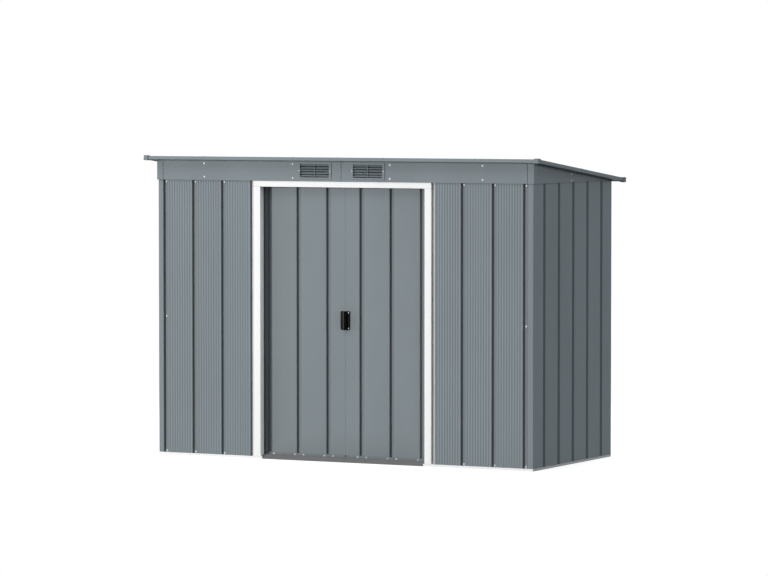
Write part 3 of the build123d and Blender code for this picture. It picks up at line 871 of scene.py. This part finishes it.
# %% Back sheets
wall_rows = 28
for number in range(1, 5):
    low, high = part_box(f"back_panel_{number}")
    start, end = -high.x, -low.x
    centres = grooves_in(start, end)
    s = strip_places(start, end, centres)
    which = np.abs(s[:, None] - centres[None]).argmin(axis=1)
    deep = np.where((which == 0) & (number > 1), lap, 0)
    groove = groove_shape(s, centres)
    line = np.stack([-s, half_depth - (groove_depth + deep) * groove], axis=1)
    levels = np.linspace(low.z, high.z, wall_rows)
    swell = swelling(s, levels, centres, 11 + 4 * number)
    piece = sheet_grid(f"back_sheet_{number}", line, levels, swell, upright_axes, groove)
    take_over(piece, f"back_panel_{number}", "shed")
    print(piece.name, len(centres), "grooves", len(piece.data.polygons), "faces")

# %% [markdown]
# ## Door leaves
# A leaf is a sheet with three grooves and plain flats. Its two upright edges fold straight back,
# which hides the raw edge and stiffens the leaf. The path therefore starts behind the leaf, turns
# to the front, and turns back again at the far edge. Painted shade darkens the foot of each leaf,
# and more painted shade fades out from the door posts, furthest on the left.

# %% Door leaves
first_door_groove = 108.3 * mm
fold_radius = 0.8 * mm
fold_calm = 60 * mm
# Painted shade: darker towards the foot of each leaf, and beside the door posts.
foot_height, foot_shade_strength = 0.25, 1.35
post_shade_strength = 1.2
post_shade_start = 38 * mm
post_shade_reach = {"right": 30 * mm, "left": 95 * mm}
doorway_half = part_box("door_ramp")[1].x


def shade_beside_post(x, fade):
    """Painted shade beside the door post: constant near it, then g exp(-d / fade) at a distance d further
    on.
    """
    beyond = np.clip(doorway_half - post_shade_start - x, 0, None)
    return post_shade_strength * np.exp(-beyond / fade)


for side, sign in sides:
    low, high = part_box(f"{side}_door_sheet")
    near, far = sorted((sign * low.x, sign * high.x))
    back = high.y - low.y
    grooves = np.arange(first_door_groove, far - half_mouth, groove_pitch)
    centres = back + grooves - near
    path = [(near, high.y), (near, low.y), (far, low.y), (far, high.y)]
    length = 2 * back + far - near
    folds = np.array([back, length - back])[:, None] + fold_radius * turn_places[None]
    s = strip_places(0, length, centres, extra=folds.ravel())
    points, normals = along_path(s, path, fold_radius)
    groove = groove_shape(s, centres)
    line = points + groove_depth * groove[:, None] * normals
    # Painted shade beside the door posts, added to the groove shade.
    mask = groove + (1 - groove) * shade_beside_post(points[:, 0], post_shade_reach[side])
    levels = np.linspace(low.z, high.z, wall_rows)
    calm = np.clip((np.minimum(s, length - s) - back - 2 * fold_radius) / fold_calm, 0, 1)
    swell = swelling(s, levels, centres, 31) * ease(calm)[:, None]
    if sign < 0:
        line, swell, mask = mirrored(line, swell, mask)
    # Painted shade, darker towards the foot of each leaf.
    splash = foot_shade_strength * np.clip((foot_height - levels) / foot_height, 0, 1) ** 2
    painted_shade = np.maximum(mask[None], splash[:, None])
    piece = sheet_grid(f"{side}_door_leaf", line, levels, swell, upright_axes, painted_shade, leaf_paint)
    take_over(piece, f"{side}_door_sheet", f"{side}_door")
    print(piece.name, len(grooves), "grooves", len(piece.data.polygons), "faces")

# %% [markdown]
# The leaves meet with a gap of 5 mm, so that they can't jam. A thin bead on each meeting edge closes
# it to a fine line. It is a blunt half round that laps over the fold, drawn up the leaf as one more
# loop of points.

# %% Meeting edges
bead_reach = 2.46 * mm
bead_lap = 2.8 * mm
bead_depth = 14.0 * mm
bead_proud = 0.15 * mm
bead_lift = 18.0 * mm
bead_paint = painted_steel("bead_paint", shed_grey, 0.50, bend=0.3 * mm)


def bead(name, edge, front, sign, low, high):
    """Blunt round strip, whose flat side lies one lap inside the edge: x = edge + sign (lap - r
    cos^0.03 a) and y = front + depth (1 - sin a) / 2 for a in -90..90, where r is the lap and the reach
    together."""
    a = np.radians(np.linspace(-90, 90, 13))
    across = bead_lap - (bead_lap + bead_reach) * np.cos(a) ** 0.03
    outline = np.stack([edge + sign * across, front + bead_depth * (1 - np.sin(a)) / 2], axis=1)
    if sign > 0:
        outline = outline[::-1]
    count = len(outline)
    vertices = np.concatenate([np.column_stack([outline, np.full(count, z)]) for z in (low, high)])
    i = np.arange(count)
    faces = loop_walls(count, 2).tolist() + [i[::-1].tolist(), (i + count).tolist()]
    return put_mesh(name, vertices, faces, bead_paint)


for side, sign in sides:
    low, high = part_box(f"{side}_door_sheet")
    edge = low.x if sign > 0 else high.x
    piece = bead(f"{side}_door_bead", edge, low.y - bead_proud, sign, low.z + bead_lift, high.z)
    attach(piece, f"{side}_door")
    print(piece.name, len(piece.data.polygons), "faces")

# %% [markdown]
# ## Roof sheets
# The roof sheets are rolled the other way: ribs stand up instead of grooves, so that water runs
# between them, and the sheets lap at ribs. The line is drawn across the shed and carried down the
# slope, along axes that are tilted with the roof.

# %% Roof sheets
rib_height = 9.0 * mm
half_rib_top = 8.0 * mm
rib_run = 9.0 * mm
rib_mouth = half_rib_top + rib_run
roof_overhang = 64 * mm
edge_play = 1.1 * mm
roof_rows = 16
roof_calm = 0.6
roof_tilt = math.atan(roof_fall)
slope = np.array((0, math.cos(roof_tilt), -math.sin(roof_tilt)))
roof_up = np.array((0, math.sin(roof_tilt), math.cos(roof_tilt)))
roof_axes = ((1, 0, 0), tuple(roof_up), tuple(-slope), (0, 0, roof_middle))
roof_half_length = (half_depth + roof_overhang) / math.cos(roof_tilt) - edge_play
rib_places = groove_pitch * np.arange(-6, 7)

for number in range(1, 5):
    low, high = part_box(f"roof_panel_{number}")
    start, end = low.x, high.x
    starts_on = np.abs(rib_places - 0.8 * half_rib_top - start) < 1 * mm
    ribs = rib_places[(rib_places > start - half_rib_top) & (rib_places < end + half_rib_top)]
    across = strip_places(start, end, ribs, half_rib_top, rib_mouth)
    which = np.abs(across[:, None] - ribs[None]).argmin(axis=1)
    sunk = np.where((which == 0) & starts_on.any(), lap, 0)
    height = (rib_height - sunk) * groove_shape(across, ribs, rib_run, rib_mouth)
    line = np.stack([across, height + sheet_thickness], axis=1)[::-1]
    levels = np.linspace(-roof_half_length, roof_half_length, roof_rows)
    swell = swelling(across, levels + 2, ribs, 41 + 3 * number)[::-1]
    piece = sheet_grid(f"roof_sheet_{number}", line, levels, swell * roof_calm, roof_axes)
    take_over(piece, f"roof_panel_{number}", "shed")
    print(piece.name, len(ribs), "ribs", len(piece.data.polygons), "faces")

# %% [markdown]
# ## Vent fins
# A thin upright fin stiffens the slats of each vent halfway along. It reaches almost to the front of
# the slats, so it throws a narrow shadow on their right half.

# %% Vent fins
fin_half = 1.5 * mm
fin_front, fin_back = 0.6 * mm, 7.0 * mm
fin_margin = 10.6 * mm
corner_signs = np.array([(x, y, z) for z in (0, 1) for y in (0, 1) for x in (0, 1)])
box_faces = [(0, 2, 3, 1), (4, 5, 7, 6), (0, 1, 5, 4), (2, 6, 7, 3), (0, 4, 6, 2), (1, 3, 7, 5)]
for side in ("left", "right"):
    low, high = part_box(f"vent_{side}")
    middle = (low.x + high.x) / 2
    start = np.array((middle - fin_half, low.y + fin_front, low.z + fin_margin))
    end = np.array((middle + fin_half, low.y + fin_back, high.z - fin_margin))
    piece = put_mesh(f"vent_fin_{side}", start + corner_signs * (end - start), box_faces, grey_paint)
    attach(piece, "shed")
    print(piece.name, round((end - start)[2] / mm), "mm high")

# %% [markdown]
# ## Screws
# Their plate is bright, with faint streaks and a little dust.

# %% Screw finish
def plated(name, colour, roughness):
    """Bright zinc plate: half metal, half a pale scattering skin, whose tone and gloss vary in streaks."""
    material, tree, shader = start_material(name)
    shader.inputs["Metallic"].default_value = 0.5
    skin = effect(tree, paint_skin, Fineness=2200.0, Drift=90.0)
    dust = effect(tree, settled_dust, Splash_Height=0.06, Ledge=0.3, Splash=0.3)
    base = between(tree, skin["Tone"], tinted(colour, 0.85), tinted(colour, 1.1))
    base = between(tree, dust["Mask"], base, dust_colour)
    gloss = stretch(tree, skin["Tone"], 0.2, 0.8, roughness - 0.06, roughness + 0.1)
    connect(tree, shader, base, gloss, {"Strength": 0.2, "Distance": 0.05 * mm, "Height": skin["Height"]})
    return material


screw_zinc = plated("screw_zinc", (0.52, 0.53, 0.54), 0.55)
print("plate", screw_zinc.name)

# %% [markdown]
# At this size a few dozen faces are enough: rings of twelve points, round for the washer and drawn
# towards a hexagon for the head. All screws of one body are one mesh, made by adding each screw's
# place to the same small array of points.

# %% Screw shape
ring_radius = np.array([6.0, 6.0, 5.6, 3.9, 3.9, 3.3]) * mm
ring_height = np.array([0.0, 0.9, 1.3, 1.3, 3.2, 3.7]) * mm
ring_hexagon = np.array([0, 0, 0, 1, 1, 0.8])
around = 12


def screw_points():
    """Rings of a screw: radius r (1 - h (1 - cos 30 / cos(angle within a sixth))), where h is 0 for a
    round ring and 1 for a hexagon, and a last point closes the head."""
    angle = 2 * np.pi * np.arange(around) / around
    sixth = (angle + np.pi / 6) % (np.pi / 3) - np.pi / 6
    hexagon = np.cos(np.pi / 6) / np.cos(sixth)
    radius = ring_radius[:, None] * (1 - ring_hexagon[:, None] * (1 - hexagon[None]))
    rings = np.stack([radius * np.cos(angle), radius * np.sin(angle),
                      np.broadcast_to(ring_height[:, None], radius.shape)], axis=-1)
    return np.concatenate([rings.reshape(-1, 3), [[0, 0, ring_height[-1]]]])


def screw_faces():
    """Quads between the rings and triangles to the top point, as rows of vertex numbers."""
    edge = (len(ring_radius) - 1) * around + np.arange(around)
    top = np.stack([edge, np.roll(edge, -1), np.full(around, len(ring_radius) * around)], -1)
    return loop_walls(around, len(ring_radius)), top


def drive_screws(name, body, places, facings, size):
    """One mesh of screws: each place plus the screw's points turned to its facing."""
    places, facings = np.asarray(places, float), np.asarray(facings, float)
    side = np.cross(facings, np.where(np.abs(facings[:, 2:]) > 0.8, (1.0, 0, 0), (0, 0, 1.0)))
    side /= np.linalg.norm(side, axis=1)[:, None]
    turn = np.stack([side, np.cross(facings, side), facings], axis=1)
    points = screw_points() * size
    vertices = (places[:, None] + points @ turn).reshape(-1, 3)
    shift = len(points) * np.arange(len(places))[:, None, None]
    faces = []
    for rows in screw_faces():
        faces += (rows[None] + shift).reshape(-1, rows.shape[1]).tolist()
    piece = put_mesh(name, vertices, faces, screw_zinc)
    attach(piece, body)
    print(name, len(places), "screws")


print("screw of", len(screw_points()), "points")

# %% [markdown]
# The places follow the sheets: one screw at the top and the bottom of each groove floor on the
# front, one halfway up each corner lap, and pairs on the fascia and the gables. The back repeats
# the front. Smaller ones hold the vents.

# %% Screws on the shed
def grid_of(xs, zs, y):
    """Every pairing of the distances along a wall with the heights, at one depth."""
    x, z = np.meshgrid(xs, zs)
    return np.stack([x.ravel(), np.full(x.size, y), z.ravel()], axis=1)


def facing(places, direction):
    """The same direction for each place."""
    return np.broadcast_to(np.asarray(direction, float), places.shape)


to_front, to_back = (0, -1, 0), (0, 1, 0)
wall_size, vent_size = 0.9, 0.55
both_sides = np.array([-1, 1])
wall_heights = np.array([23.0, 1611.0]) * mm
seam_heights = [817.5 * mm]
front_floor, back_floor = -half_depth + groove_depth, half_depth - groove_depth
wall_grooves = half_width - corner_groove - groove_pitch * np.arange(3)
front_columns = (both_sides[:, None] * wall_grooves[None]).ravel()
front_screws = grid_of(front_columns, wall_heights, front_floor)
seam_screws = grid_of(both_sides * wall_grooves[0], seam_heights, front_floor)
back_columns = groove_pitch * np.arange(-6, 7)
back_screws = grid_of(back_columns, wall_heights, back_floor)
back_seams = grid_of(back_columns[::3], seam_heights, back_floor)

fascia_columns = np.array([-905, -316, 316, 905]) * mm
fascia_heights = np.array([1641, 1720]) * mm
fascia_screws = grid_of(fascia_columns, fascia_heights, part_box("fascia_right")[0].y)
gable_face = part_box("gable_right")[1].x
gable_depth = -36 * mm
gable_heights = (1630.7 * mm, 1669.6 * mm)
gable_screws = np.array([(sign * gable_face, gable_depth, z) for sign in both_sides for z in gable_heights])

places = [front_screws, seam_screws, back_screws, back_seams, fascia_screws, gable_screws]
directions = [to_front, to_front, to_back, to_back, to_front]
facings = [facing(group, direction) for group, direction in zip(places, directions)]
facings.append(np.sign(gable_screws) * (1, 0, 0))
drive_screws("wall_screws", "shed", np.concatenate(places), np.concatenate(facings), wall_size)

vent_low, vent_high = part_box("vent_right")
vent_margin = 9 * mm
vent_ends = np.array([vent_low.x + vent_margin, vent_high.x - vent_margin])
vent_columns = both_sides[:, None] * vent_ends[None]
vent_screws = grid_of(vent_columns.ravel(), [(vent_low.z + vent_high.z) / 2], vent_low.y)
drive_screws("vent_screws", "shed", vent_screws, facing(vent_screws, to_front), vent_size)

# %% [markdown]
# The roof's trims have a row of screws along the front and back edges and one at each side. They
# stand square to the slope, so their places are added up along the roof's own axes.

# %% Screws on the roof edge
roof_size = 1.15
trim_top = 15.1 * mm
edge_inset = 10 * mm
edge_columns = np.array([-878, -293, 0, 293, 878]) * mm
roof_edge = roof_half_length + edge_play
edge_row = np.full(len(edge_columns), roof_edge - edge_inset)
side_columns = both_sides * (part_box("roof_trim_right")[1].x - edge_inset)
across = np.concatenate([edge_columns, edge_columns, side_columns])
along = np.concatenate([-edge_row, edge_row, [0, 0]])
trim_middle = trim_top * roof_up + (0, 0, roof_middle)
roof_screws = across[:, None] * (1, 0, 0) + along[:, None] * slope + trim_middle
drive_screws("roof_screws", "shed", roof_screws, facing(roof_screws, roof_up), roof_size)

# %% [markdown]
# Each door has a pair of screws beside every groove at its foot, which hold the bottom rail. The
# plate of the right pull shows two more, and the left pull none. They slide with their own leaf.

# %% Screws on the doors
foot_size, plate_size = 0.85, 0.6
foot_spread, foot_level, edge_margin = 28.5 * mm, 30 * mm, 30 * mm
plate_column, plate_spread, plate_depth = 22 * mm, 45 * mm, 3.1 * mm
for side, sign in reversed(sides):
    low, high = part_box(f"{side}_door_sheet")
    far = max(-low.x, high.x)
    grooves = np.arange(first_door_groove, far - half_mouth, groove_pitch)
    columns = (grooves[:, None] + foot_spread * both_sides[None]).ravel()
    columns = sign * columns[columns < far - edge_margin]
    foot = grid_of(columns, [foot_level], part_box(f"{side}_door_rails")[0].y)
    drive_screws(f"{side}_door_screws", f"{side}_door", foot, facing(foot, to_front), foot_size)

plate = grid_of([plate_column], pull_middle + plate_spread * both_sides, pull_high.y - plate_depth)
drive_screws("right_pull_screws", "right_door", plate, facing(plate, to_front), plate_size)
